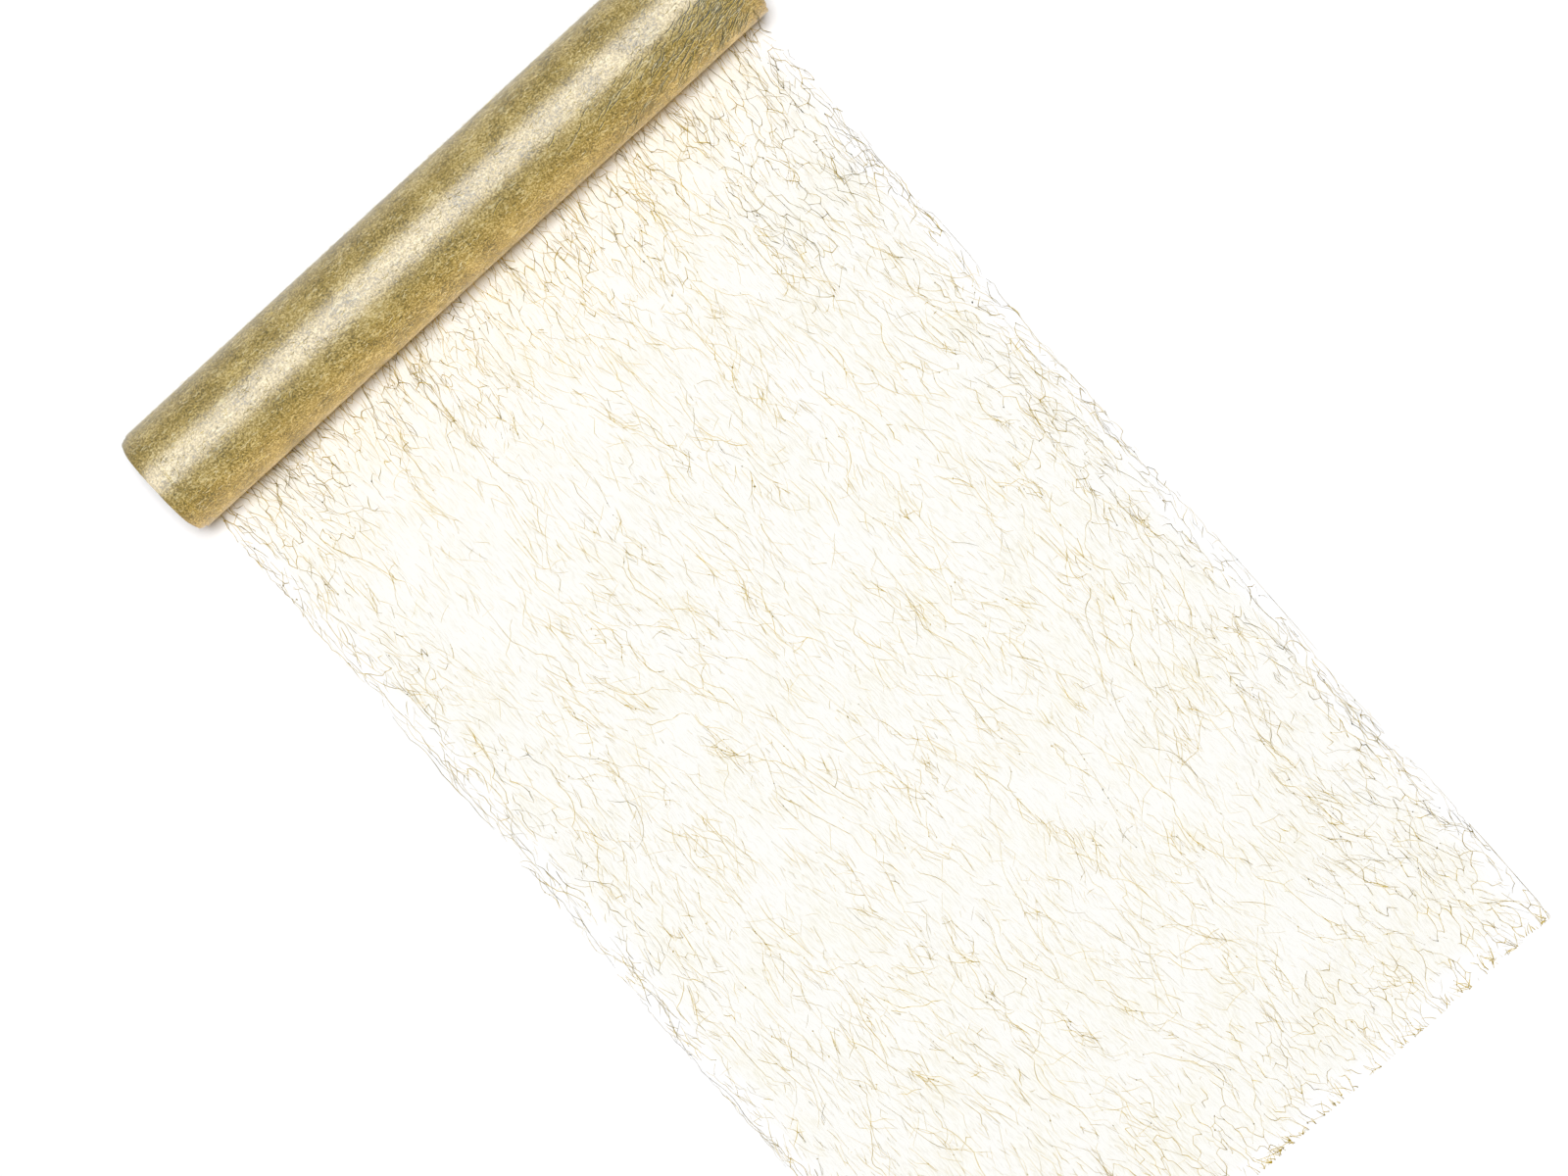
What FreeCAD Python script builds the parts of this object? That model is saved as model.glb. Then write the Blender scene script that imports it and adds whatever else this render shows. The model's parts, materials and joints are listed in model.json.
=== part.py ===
import FreeCAD, Part
import math
import os

# A roll of open bonded-fibre gift web on a paperboard core, with its first half metre drawn out flat.
# Millimetres. +X runs along the roll, +Z is up and the drawn-out web lies towards -Y.
# The web leaves the roll at its underside, so it climbs the back of the roll as it is wound up.

# Driving dimensions
web_width = 291.0  # cut width of the web
web_thickness = 0.14  # one layer, pressed flat
edge_wander = 4.5  # how far the wound turns walk past the web's width, each side
turns = 37  # full turns of web on the core
wind_gap = 0.096  # air between two turns
core_bore_d = 25.0
core_setback = 1.0  # core end inside the wound web's end, each side
ply_thickness = 0.6  # one spiral-wound paperboard ply
glue_line = 0.1  # between plies, and under and over the tape
tape_thickness = 0.1
tape_width = 25.0  # around the core
tape_setback = 8.0  # tape end inside the web's edge, each side
laid_length = 488.0  # web drawn out flat, from under the roll to its free end
front_length = 100.0  # of that, the tail that stays flat when the roll is wound up to it
laid_skew_deg = 1.27  # the drawn-out web runs off square to the roll
laid_offset = 1.9  # its middle from the roll's middle, under the roll
running_gap = 0.3  # between the turning roll and the web beside it
wrap_arc_deg = 100.0  # the slack web that climbs the roll's back, from its lowest line

# Worked out from them
roll_length = web_width + 2 * edge_wander
core_length = roll_length - 2 * core_setback
pitch = web_thickness + wind_gap
core_radii = [core_bore_d / 2 + i * (ply_thickness + glue_line) for i in range(3)]
tape_radius = core_radii[-1] + ply_thickness + glue_line
wind_start = tape_radius + tape_thickness + glue_line
roll_radius = wind_start + turns * pitch + web_thickness
wrap_radius = roll_radius + running_gap
axis_height = wrap_radius + web_thickness  # the slack web's outside just meets the surface
along_roll = FreeCAD.Vector(1, 0, 0)


def at(x, y, z):
    return FreeCAD.Vector(x, y, z)


def extrude_along_roll(edges, width):
    """Closed outline in the plane x = -width / 2, drawn out to +width / 2."""
    return Part.Face(Part.Wire(edges)).extrude(along_roll * width)


def tube(inner, wall, length):
    start = at(-length / 2, 0, axis_height)
    outside = Part.makeCylinder(inner + wall, length, start, along_roll)
    return outside.cut(Part.makeCylinder(inner, length, start, along_roll))


def arc_strip(inner, thickness, from_deg, to_deg, width):
    """Curved strip round the roll's axis. 0 degrees is straight down, and 90 is the roll's back."""

    def point(radius, degrees):
        angle = math.radians(degrees)
        return at(-width / 2, radius * math.sin(angle), axis_height - radius * math.cos(angle))

    def arc(radius, start, end):
        middle = point(radius, (start + end) / 2)
        return Part.Arc(point(radius, start), middle, point(radius, end)).toShape()

    outer = inner + thickness
    near_end = Part.LineSegment(point(outer, from_deg), point(inner, from_deg)).toShape()
    far_end = Part.LineSegment(point(inner, to_deg), point(outer, to_deg)).toShape()
    edges = [arc(inner, from_deg, to_deg), far_end, arc(outer, to_deg, from_deg), near_end]
    return extrude_along_roll(edges, width)


def full_turn(half_turn, width):
    """One turn of web from an even half turn on: two semicircles whose centres step by a quarter pitch.

    The first climbs the front of the roll and the second comes down its back.
    """

    def radius(step, layer):
        return wind_start + (half_turn + step) * pitch / 2 + layer

    def bottom_or_top(step, layer):
        side = 1 if step == 1 else -1
        return at(-width / 2, 0, axis_height + side * radius(step, layer))

    def semicircle(step, layer):
        start = bottom_or_top(step, layer)
        end = bottom_or_top(step + 1, layer)
        reach = (radius(step, layer) + radius(step + 1, layer)) / 2
        side = -1 if step == 0 else 1
        middle = at(-width / 2, side * reach, (start.z + end.z) / 2)
        return Part.Arc(start, middle, end).toShape()

    def cut_end(step):
        return Part.LineSegment(bottom_or_top(step, 0), bottom_or_top(step, web_thickness)).toShape()

    inside = [semicircle(step, 0) for step in (0, 1)]
    outside = [semicircle(step, web_thickness) for step in (1, 0)]
    return extrude_along_roll(inside + [cut_end(2)] + outside + [cut_end(0)], width)


# The drawn-out web's own directions: along it to its free end, and across it.
skew = math.radians(laid_skew_deg)
run_out = at(-math.sin(skew), -math.cos(skew), 0)
across = at(math.cos(skew), -math.sin(skew), 0)
rear_middle = at(laid_offset, 0, 0)


def cut_line(distance):
    """The web's two edge points at a square cut, a distance from the line under the roll."""
    middle = rear_middle + run_out * distance
    return [middle - across * (web_width / 2), middle + across * (web_width / 2)]


def rear_line():
    """The web's two edge points on the line straight under the roll's axis."""
    half = web_width / 2 / math.cos(skew)
    return [rear_middle - along_roll * half, rear_middle + along_roll * half]


def flat_web(rear, front):
    corners = [rear[0], rear[1], front[1], front[0]]
    outline = Part.makePolygon(corners + corners[:1])
    return Part.Face(outline).extrude(at(0, 0, web_thickness))


parts = {}
ply_names = ["core_inner_ply", "core_middle_ply", "core_outer_ply"]
for name, inner in zip(ply_names, core_radii):
    parts[name] = tube(inner, ply_thickness, core_length)

tape_half_arc = math.degrees(tape_width / 2 / tape_radius)
tape_length = web_width - 2 * tape_setback
parts["start_tape"] = arc_strip(
    tape_radius, tape_thickness, -tape_half_arc, tape_half_arc, tape_length
)

# The turns under the last one press together and are one ring.
last_turn_start = 2 * (turns - 1)
pressed_wall = (turns - 1) * pitch - wind_gap
parts["wound_web"] = tube(wind_start, pressed_wall, roll_length)
parts["outer_turn"] = full_turn(last_turn_start, web_width)

wrap_start_deg = math.degrees(running_gap / wrap_radius)
parts["loose_wrap"] = arc_strip(
    wrap_radius, web_thickness, wrap_start_deg, wrap_arc_deg, web_width
)

tail_line = cut_line(laid_length - front_length)
parts["laid_web_rear"] = flat_web(rear_line(), tail_line)
parts["laid_web_front"] = flat_web(tail_line, cut_line(laid_length))

# The origin is under the middle of the whole thing, on the surface that it lies on.
whole = Part.makeCompound(list(parts.values())).BoundBox
to_origin = at(-(whole.XMin + whole.XMax) / 2, -(whole.YMin + whole.YMax) / 2, 0)

os.makedirs("parts", exist_ok=True)
for name, shape in parts.items():
    shape.translate(to_origin)
    shape.exportStep("parts/" + name + ".step")
    print(name, "volume", round(shape.Volume, 1), "valid", shape.isValid(), "solids", len(shape.Solids))

print("roll axis at", round(to_origin.x, 4), round(to_origin.y, 4), round(axis_height, 4))
print("roll radius", round(roll_radius, 3), "roll length", roll_length)
print("size", round(whole.XLength, 2), round(whole.YLength, 2), round(whole.ZLength, 2))
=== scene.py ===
import json
import math
import bpy
import numpy as np
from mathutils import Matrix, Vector
from mathutils.geometry import delaunay_2d_cdt


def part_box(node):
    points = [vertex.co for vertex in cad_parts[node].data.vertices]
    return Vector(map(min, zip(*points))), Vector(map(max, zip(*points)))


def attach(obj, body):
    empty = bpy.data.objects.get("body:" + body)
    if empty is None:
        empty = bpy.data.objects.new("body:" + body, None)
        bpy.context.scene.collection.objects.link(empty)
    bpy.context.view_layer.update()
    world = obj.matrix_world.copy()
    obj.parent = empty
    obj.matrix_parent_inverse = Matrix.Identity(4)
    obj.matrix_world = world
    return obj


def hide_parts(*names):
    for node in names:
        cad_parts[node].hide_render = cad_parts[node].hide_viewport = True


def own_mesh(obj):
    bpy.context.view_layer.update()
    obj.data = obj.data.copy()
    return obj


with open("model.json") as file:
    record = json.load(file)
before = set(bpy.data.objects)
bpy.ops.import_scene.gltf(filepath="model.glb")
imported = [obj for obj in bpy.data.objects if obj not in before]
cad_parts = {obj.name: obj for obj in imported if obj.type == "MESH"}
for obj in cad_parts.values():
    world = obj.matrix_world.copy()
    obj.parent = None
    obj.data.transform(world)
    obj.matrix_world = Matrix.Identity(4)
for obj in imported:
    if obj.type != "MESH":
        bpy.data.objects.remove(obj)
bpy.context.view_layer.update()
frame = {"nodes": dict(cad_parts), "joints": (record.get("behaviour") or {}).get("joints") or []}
print("frame loaded")

mm = 0.001
joints = {j["name"]: j for j in frame["joints"]}
rollAxis = np.array(joints["roll_spin"]["pos_m"]) / mm  # the maker below works in millimetres


def nodeBox(name):
    low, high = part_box(name)
    return np.array(low) / mm, np.array(high) / mm


skinLow, skinHigh = nodeBox("outer_turn")
packLow, packHigh = nodeBox("wound_web")
wrapLow, _ = nodeBox("loose_wrap")
rollRadius = rollAxis[2] - skinLow[2]
wrapRadius = rollAxis[2] - wrapLow[2]
webWidth = skinHigh[0] - skinLow[0]
rollMiddle = rollAxis[0]

# the drawn-out web's own directions, from the corners of its tail
tailCorners = np.array([v.co for v in frame["nodes"]["laid_web_front"].data.vertices]) / mm
leftEnd, rightEnd = tailCorners[tailCorners[:, 0].argmin()], tailCorners[tailCorners[:, 1].argmin()]
leftRear = tailCorners[tailCorners[:, 1].argmax()]
across = np.array([*(rightEnd - leftEnd)[:2], 0.0])
across /= np.linalg.norm(across)
runOut = np.array([*(leftEnd - leftRear)[:2], 0.0])
runOut /= np.linalg.norm(runOut)
endMiddle = (leftEnd + rightEnd) / 2
laidLength = (endMiddle[1] - rollAxis[1]) / runOut[1]
tailLength = np.linalg.norm((leftEnd - leftRear)[:2])
rearLength = laidLength - tailLength
underRoll = endMiddle - runOut * laidLength
underRoll[2] = 0.0


# small tools that everything below uses

def linear(hexColour):
    # sRGB hex to linear RGBA
    parts = [int(hexColour[i:i + 2], 16) / 255 for i in (1, 3, 5)]
    return [c / 12.92 if c <= 0.04045 else ((c + 0.055) / 1.055) ** 2.4 for c in parts] + [1.0]


def add(tree, kind, inputs=None, stops=None, **settings):
    # adds a node with its settings, and links or sets its inputs
    node = tree.nodes.new(kind)
    for name, value in settings.items():
        setattr(node, name, value)
    for socket, value in (inputs or {}).items():
        if isinstance(value, bpy.types.NodeSocket):
            tree.links.new(value, node.inputs[socket])
        else:
            node.inputs[socket].default_value = value
    if stops:
        ramp = node.color_ramp.elements
        while len(ramp) < len(stops):
            ramp.new(0.5)
        for element, (place, colour) in zip(ramp, stops):
            element.position = place
            element.color = linear(colour)
    return node


def newMaterial(name):
    material = bpy.data.materials.new(name)
    material.use_nodes = True
    material.node_tree.nodes.clear()
    return material, material.node_tree


def surface(tree, inputs):
    shader = add(tree, "ShaderNodeBsdfPrincipled", inputs)
    add(tree, "ShaderNodeOutputMaterial", {"Surface": shader.outputs[0]})


def field(x, y, seed, loopY=256):
    # smooth random field from -1 to 1, one bump per unit, repeating every loopY units of y
    lattice = np.random.default_rng(seed).uniform(-1, 1, (256, 256))
    cellX, cellY = np.floor(x).astype(int), np.floor(y).astype(int)
    fracX, fracY = x - cellX, y - cellY
    fracX, fracY = fracX ** 2 * (3 - 2 * fracX), fracY ** 2 * (3 - 2 * fracY)
    left, right = cellX % 256, (cellX + 1) % 256
    low, high = cellY % loopY, (cellY + 1) % loopY
    bottom = lattice[left, low] * (1 - fracX) + lattice[right, low] * fracX
    top = lattice[left, high] * (1 - fracX) + lattice[right, high] * fracX
    return bottom * (1 - fracY) + top * fracY


def smoothStep(x, start, end):
    t = np.clip((x - start) / (end - start), 0, 1)
    return t * t * (3 - 2 * t)


# the camera looks straight down, metres and degrees here

cameraSet = dict(height=1.73, lens=101.2, sideways=0.0019, ahead=0.1921, turnDeg=-42.6)
lightSet = dict(
    boxHeight=2.1, boxTiltDeg=8.6, boxWide=1.8, boxDeep=2.0, boxWatts=106.0, boxColour="#e9efff",
    fillHeight=6.0, fillTiltDeg=1.7, fillWide=1.65, fillDeep=1.42, fillWatts=360.0, fillColour="#ffffff",
    glowHeight=-0.62, glowTiltDeg=66.1, glowWide=1.2, glowDeep=0.2, glowWatts=25.0, glowColour="#ffd628",
    worldStrength=0.2, worldColour="#fafcff", floorColour="#f1f1f2", floorSize=16.0, floorDrop=0.0004,
)
litByGlow = bpy.data.collections.new("litByGlow")  # the roll only, since the glow comes through the floor


def makeStage():
    s = lightSet
    camera = bpy.data.objects.new("camera", bpy.data.cameras.new("camera"))
    camera.data.lens = cameraSet["lens"]
    camera.location = (
        rollMiddle * mm + cameraSet["sideways"], rollAxis[1] * mm - cameraSet["ahead"], cameraSet["height"]
    )
    camera.rotation_euler = (0, 0, math.radians(cameraSet["turnDeg"]))
    bpy.context.scene.collection.objects.link(camera)
    bpy.context.scene.camera = camera
    bpy.context.scene.view_settings.view_transform = "Standard"

    target = Vector(rollAxis * mm)

    def areaLight(name, part, glint, wash):
        # a soft light aimed at the roll, which gives it glints, or an even wash, or both
        light = bpy.data.lights.new(name, "AREA")
        light.shape = "RECTANGLE"
        light.size, light.size_y = s[part + "Wide"], s[part + "Deep"]
        light.energy = s[part + "Watts"]
        light.color = linear(s[part + "Colour"])[:3]
        lamp = bpy.data.objects.new(name, light)
        height = s[part + "Height"]
        behind = math.tan(math.radians(s[part + "TiltDeg"])) * height
        lamp.location = (target.x, target.y + behind, height)
        lamp.rotation_euler = (target - lamp.location).to_track_quat("-Z", "Y").to_euler()
        lamp.visible_glossy = glint
        lamp.visible_diffuse = wash
        bpy.context.scene.collection.objects.link(lamp)
        return lamp

    areaLight("glintSoftbox", "box", True, False)  # the broad streak along the top of the roll
    areaLight("overheadWash", "fill", False, True)  # nearly parallel, so the shadows stay close in
    glow = areaLight("warmGlow", "glow", False, True)  # what the gold web throws up at the roll's front
    glow.light_linking.receiver_collection = litByGlow
    glow.light_linking.blocker_collection = litByGlow

    world = bpy.data.worlds.new("studio")
    world.use_nodes = True
    sky = world.node_tree.nodes["Background"]
    sky.inputs["Color"].default_value = linear(s["worldColour"])
    sky.inputs["Strength"].default_value = s["worldStrength"]
    bpy.context.scene.world = world

    bpy.ops.mesh.primitive_plane_add(size=s["floorSize"], location=(0, 0, -s["floorDrop"]))
    floor = bpy.context.object
    floor.name = "floor"
    material, tree = newMaterial("matteWhiteCard")
    surface(tree, {"Base Color": linear(s["floorColour"]), "Roughness": 0.9, "Specular IOR Level": 0.2})
    floor.data.materials.append(material)


makeStage()
print("stage made")


# pattern sizes are in real millimetres

fibreSet = dict(
    # the palest stop is the colour of the pale fibres pressed into the roll, which are painted glints
    tones=[(0.0, "#f4ebc6"), (0.12, "#e0c448"), (0.34, "#c8ac30"), (0.6, "#9a8426"), (0.82, "#6c6028"),
           (1.0, "#4a4730")],
    metallic=0.5, ior=1.45, roughness=(0.45, 0.68), mottleMm=1.4, mottleShare=0.3,
    grainMm=0.25, grainDeepMm=0.05, grainStrength=0.5,
)
skinSet = dict(
    # the pale colour on the next line is the colour of the painted glints
    tones=[(0.0, "#5e5428"), (0.35, "#907b3a"), (0.65, "#ad9650"), (1.0, "#d0bd84")], paintedGlintPale="#e2d5a4",
    metallic=0.05, ior=1.5, specular=0.15, roughness=(0.5, 0.7), lacquerIor=1.58, lacquerRoughness=0.35,
    mottleMm=11.0, mottleShare=0.3, spread=(0.51, 0.79), grainMm=0.75,
    # the fleck settings size and place the painted glints, pale flecks stretched along the roll
    paintedGlintMm=1.5, paintedGlintAlong=0.35, paintedGlintAt=(0.58, 0.7), paintedGlintShare=0.5,
    feltDeepMm=0.28, feltStrength=0.9, glossDeepMm=0.1, glossStrength=0.08,
)


def goldFibreMaterial(name, lacquer):
    # bonded polyester fibre, spray-lacquered gold: warm satin threads, from pale champagne to olive
    s = fibreSet
    material, tree = newMaterial(name)
    place = add(tree, "ShaderNodeTexCoord").outputs["Object"]
    tone = add(tree, "ShaderNodeAttribute", attribute_name="fibreTone").outputs["Fac"]
    mottle = add(tree, "ShaderNodeTexNoise", {"Vector": place, "Scale": 1000 / s["mottleMm"], "Detail": 3.0})
    shifted = add(
        tree, "ShaderNodeMath",
        {0: mottle.outputs["Fac"], 1: s["mottleShare"], 2: -s["mottleShare"] / 2}, operation="MULTIPLY_ADD",
    )
    mixed = add(tree, "ShaderNodeMath", {0: tone, 1: shifted.outputs[0]}, operation="ADD", use_clamp=True)
    colour = add(tree, "ShaderNodeValToRGB", {"Fac": mixed.outputs[0]}, stops=s["tones"])
    grain = add(tree, "ShaderNodeTexNoise", {"Vector": place, "Scale": 1000 / s["grainMm"], "Detail": 2.0})
    rough = add(
        tree, "ShaderNodeMapRange",
        {"Value": mottle.outputs["Fac"], "To Min": s["roughness"][0], "To Max": s["roughness"][1]},
    )
    bump = add(tree, "ShaderNodeBump", {
        "Height": grain.outputs["Fac"], "Strength": s["grainStrength"], "Distance": s["grainDeepMm"] * mm,
    })
    surface(tree, {
        "Base Color": colour.outputs["Color"], "Metallic": s["metallic"], "IOR": s["ior"],
        "Roughness": rough.outputs["Result"], "Normal": bump.outputs["Normal"], "Coat Weight": lacquer,
        "Coat IOR": skinSet["lacquerIor"], "Coat Roughness": skinSet["lacquerRoughness"],
    })
    return material


def rollSkinMaterial():
    # many layers of the same lacquered web pressed into a felt: grainy olive gold under a satin lacquer, with
    # painted glints: pale flecks stretched along the roll where fibres lying along it would catch the light
    s = skinSet
    material, tree = newMaterial("pressedLacqueredWeb")
    place = add(tree, "ShaderNodeTexCoord").outputs["Object"]
    mottle = add(tree, "ShaderNodeTexNoise", {"Vector": place, "Scale": 1000 / s["mottleMm"], "Detail": 4.0})
    grain = add(tree, "ShaderNodeTexNoise", {
        "Vector": place, "Scale": 1000 / s["grainMm"], "Detail": 4.0, "Roughness": 0.65,
    })
    stretched = add(tree, "ShaderNodeMapping", {"Vector": place, "Scale": (s["paintedGlintAlong"], 1.0, 1.0)})
    paintedGlintNoise = add(tree, "ShaderNodeTexNoise", {
        "Vector": stretched.outputs["Vector"], "Scale": 1000 / s["paintedGlintMm"], "Detail": 2.0, "Roughness": 0.6,
    })
    depth = add(
        tree, "ShaderNodeMath", {0: mottle.outputs["Fac"], 1: s["mottleShare"], 2: grain.outputs["Fac"]},
        operation="MULTIPLY_ADD",
    )
    spread = add(tree, "ShaderNodeMapRange", {
        "Value": depth.outputs[0], "From Min": s["spread"][0], "From Max": s["spread"][1],
    })
    base = add(tree, "ShaderNodeValToRGB", {"Fac": spread.outputs["Result"]}, stops=s["tones"])
    # painted glints: the pale colour is mixed into the base where the stretched noise peaks
    paintedGlintMask = add(tree, "ShaderNodeMapRange", {
        "Value": paintedGlintNoise.outputs["Fac"], "From Min": s["paintedGlintAt"][0], "From Max": s["paintedGlintAt"][1],
        "To Max": s["paintedGlintShare"],
    })
    colour = add(
        tree, "ShaderNodeMix",
        {"Factor": paintedGlintMask.outputs["Result"], 6: base.outputs["Color"], 7: linear(s["paintedGlintPale"])},
        data_type="RGBA",
    )
    rough = add(
        tree, "ShaderNodeMapRange",
        {"Value": grain.outputs["Fac"], "From Min": 0.3, "From Max": 0.7, "To Min": s["roughness"][0],
         "To Max": s["roughness"][1]},
    )
    bump = add(tree, "ShaderNodeBump", {
        "Height": depth.outputs[0], "Strength": s["feltStrength"], "Distance": s["feltDeepMm"] * mm,
    })
    gloss = add(tree, "ShaderNodeBump", {
        "Height": grain.outputs["Fac"], "Strength": s["glossStrength"], "Distance": s["glossDeepMm"] * mm,
    })
    surface(tree, {
        "Base Color": colour.outputs[2], "Metallic": s["metallic"], "IOR": s["ior"],
        "Roughness": rough.outputs["Result"], "Normal": bump.outputs["Normal"],
        "Specular IOR Level": s["specular"], "Coat Weight": 1.0, "Coat IOR": s["lacquerIor"],
        "Coat Roughness": s["lacquerRoughness"], "Coat Normal": gloss.outputs["Normal"],
    })
    return material


hazeSet = dict(
    colour="#d9c52e", least=0.045, most=0.19, showsAt=(0.69, 1.02), widthMm=0.55, lengthMm=7.0, patchMm=26.0,
    patchShare=0.35, bendMm=9.0, bendBy=0.004, leansDeg=(-9.0, 14.0),
)


def fibreHazeMaterial():
    # the web's finest filaments, thinner than a hair, that only show as a faint streaky veil of gold;
    # the streaks are drawn several filaments wide, because one alone would be too fine to see
    s = hazeSet
    material, tree = newMaterial("finestGoldFilaments")
    place = add(tree, "ShaderNodeTexCoord").outputs["Object"]
    warp = add(tree, "ShaderNodeTexNoise", {"Vector": place, "Scale": 1000 / s["bendMm"], "Detail": 2.0})
    bent = add(
        tree, "ShaderNodeVectorMath",
        {0: warp.outputs["Color"], 1: (s["bendBy"], s["bendBy"], 0.0), 2: place}, operation="MULTIPLY_ADD",
    )
    streaks = []
    for turnDeg, wide in zip(s["leansDeg"], (1.0, 1.4)):
        turned = add(tree, "ShaderNodeMapping", {
            "Vector": bent.outputs[0], "Rotation": (0, 0, math.radians(turnDeg)),
            "Scale": (1000 / s["widthMm"] / wide, 1000 / s["lengthMm"], 1.0),
        })
        streaks.append(add(tree, "ShaderNodeTexNoise", {
            "Vector": turned.outputs["Vector"], "Scale": 1.0, "Detail": 2.0, "Roughness": 0.6,
        }).outputs["Fac"])
    crossing = add(tree, "ShaderNodeMath", {0: streaks[0], 1: streaks[1]}, operation="MAXIMUM")
    patch = add(tree, "ShaderNodeTexNoise", {"Vector": place, "Scale": 1000 / s["patchMm"], "Detail": 2.0})
    lifted = add(
        tree, "ShaderNodeMath", {0: patch.outputs["Fac"], 1: s["patchShare"], 2: crossing.outputs[0]},
        operation="MULTIPLY_ADD",
    )
    cover = add(tree, "ShaderNodeMapRange", {
        "Value": lifted.outputs[0], "From Min": s["showsAt"][0], "From Max": s["showsAt"][1],
        "To Min": s["least"], "To Max": s["most"],
    })
    thinning = add(tree, "ShaderNodeAttribute", attribute_name="fibreTone").outputs["Fac"]
    faded = add(tree, "ShaderNodeMath", {0: cover.outputs["Result"], 1: thinning}, operation="MULTIPLY")
    rough = add(tree, "ShaderNodeMapRange", {"Value": patch.outputs["Fac"], "To Min": 0.5, "To Max": 0.8})
    bump = add(tree, "ShaderNodeBump", {
        "Height": crossing.outputs[0], "Strength": 0.3, "Distance": 0.05 * mm,
    })
    surface(tree, {
        "Base Color": linear(s["colour"]), "Roughness": rough.outputs["Result"], "IOR": 1.5,
        "Alpha": faded.outputs[0], "Normal": bump.outputs["Normal"],
    })
    return material


boardSet = dict(face="#b08a5c", dark="#8f6d45", seam="#5b442b", plyWidthMm=75.0, seamMm=0.9, fibreMm=0.9)


def kraftBoardMaterial(name, phase):
    # spiral-wound kraft paperboard: matt brown with fine fibres, and the joint of the ply as a dark helix
    s = boardSet
    material, tree = newMaterial(name)
    place = add(tree, "ShaderNodeTexCoord").outputs["Object"]
    centred = add(
        tree, "ShaderNodeVectorMath", {0: place, 1: tuple(rollAxis * mm)}, operation="SUBTRACT"
    ).outputs[0]
    xyz = add(tree, "ShaderNodeSeparateXYZ", {0: centred}).outputs
    angle = add(tree, "ShaderNodeMath", {0: xyz["Y"], 1: xyz["Z"]}, operation="ARCTAN2").outputs[0]
    turn = add(tree, "ShaderNodeMath", {0: angle, 1: 1 / math.tau, 2: phase}, operation="MULTIPLY_ADD")
    helix = add(
        tree, "ShaderNodeMath", {0: xyz["X"], 1: 1 / (s["plyWidthMm"] * mm), 2: turn.outputs[0]},
        operation="MULTIPLY_ADD",
    )
    share = add(tree, "ShaderNodeMath", {0: helix.outputs[0]}, operation="FRACT")
    fromSeam = add(tree, "ShaderNodeMath", {0: share.outputs[0], 1: 0.5}, operation="SUBTRACT")
    away = add(tree, "ShaderNodeMath", {0: fromSeam.outputs[0]}, operation="ABSOLUTE")
    half = s["seamMm"] / s["plyWidthMm"] / 2
    seam = add(tree, "ShaderNodeMapRange", {
        "Value": away.outputs[0], "From Min": half, "From Max": half * 0.3,
    })
    stretched = add(tree, "ShaderNodeMapping", {"Vector": place, "Scale": (0.3, 1.0, 1.0)})
    fibres = add(tree, "ShaderNodeTexNoise", {
        "Vector": stretched.outputs["Vector"], "Scale": 1000 / s["fibreMm"], "Detail": 5.0, "Roughness": 0.7,
    })
    base = add(
        tree, "ShaderNodeValToRGB", {"Fac": fibres.outputs["Fac"]}, stops=[(0.3, s["dark"]), (0.7, s["face"])]
    )
    colour = add(
        tree, "ShaderNodeMix",
        {"Factor": seam.outputs["Result"], 6: base.outputs["Color"], 7: linear(s["seam"])}, data_type="RGBA",
    )
    height = add(
        tree, "ShaderNodeMath", {0: seam.outputs["Result"], 1: -2.0, 2: fibres.outputs["Fac"]},
        operation="MULTIPLY_ADD",
    )
    bump = add(tree, "ShaderNodeBump", {"Height": height.outputs[0], "Strength": 0.6, "Distance": 0.1 * mm})
    rough = add(tree, "ShaderNodeMapRange", {"Value": fibres.outputs["Fac"], "To Min": 0.75, "To Max": 0.95})
    surface(tree, {
        "Base Color": colour.outputs[2], "Roughness": rough.outputs["Result"], "IOR": 1.45,
        "Normal": bump.outputs["Normal"],
    })
    return material


tapeSet = dict(light="#e2d3a6", dark="#cdb884", creaseMm=0.7)


def crepeTapeMaterial():
    # creped paper tape: matt straw colour with fine cross creases
    s = tapeSet
    material, tree = newMaterial("crepedPaperTape")
    place = add(tree, "ShaderNodeTexCoord").outputs["Object"]
    stretched = add(tree, "ShaderNodeMapping", {"Vector": place, "Scale": (1.0, 0.15, 0.15)})
    paintedCreaseShading = add(tree, "ShaderNodeTexNoise", {
        "Vector": stretched.outputs["Vector"], "Scale": 1000 / s["creaseMm"], "Detail": 3.0,
    })
    colour = add(
        tree, "ShaderNodeValToRGB", {"Fac": paintedCreaseShading.outputs["Fac"]},
        stops=[(0.35, s["dark"]), (0.65, s["light"])],
    )
    rough = add(tree, "ShaderNodeMapRange", {"Value": paintedCreaseShading.outputs["Fac"], "To Min": 0.6, "To Max": 0.8})
    bump = add(tree, "ShaderNodeBump", {
        "Height": paintedCreaseShading.outputs["Fac"], "Strength": 0.7, "Distance": 0.08 * mm,
    })
    surface(tree, {
        "Base Color": colour.outputs["Color"], "Roughness": rough.outputs["Result"], "IOR": 1.47,
        "Normal": bump.outputs["Normal"],
    })
    return material


fibreGold = goldFibreMaterial("lacqueredPolyesterFibre", 0.0)
pressedGold = goldFibreMaterial("pressedLacqueredFibre", 1.0)
skinGold = rollSkinMaterial()
hazeGold = fibreHazeMaterial()


# threads are polylines in web coordinates (u across, v along, h up, all mm), drawn as flattened tubes

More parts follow.
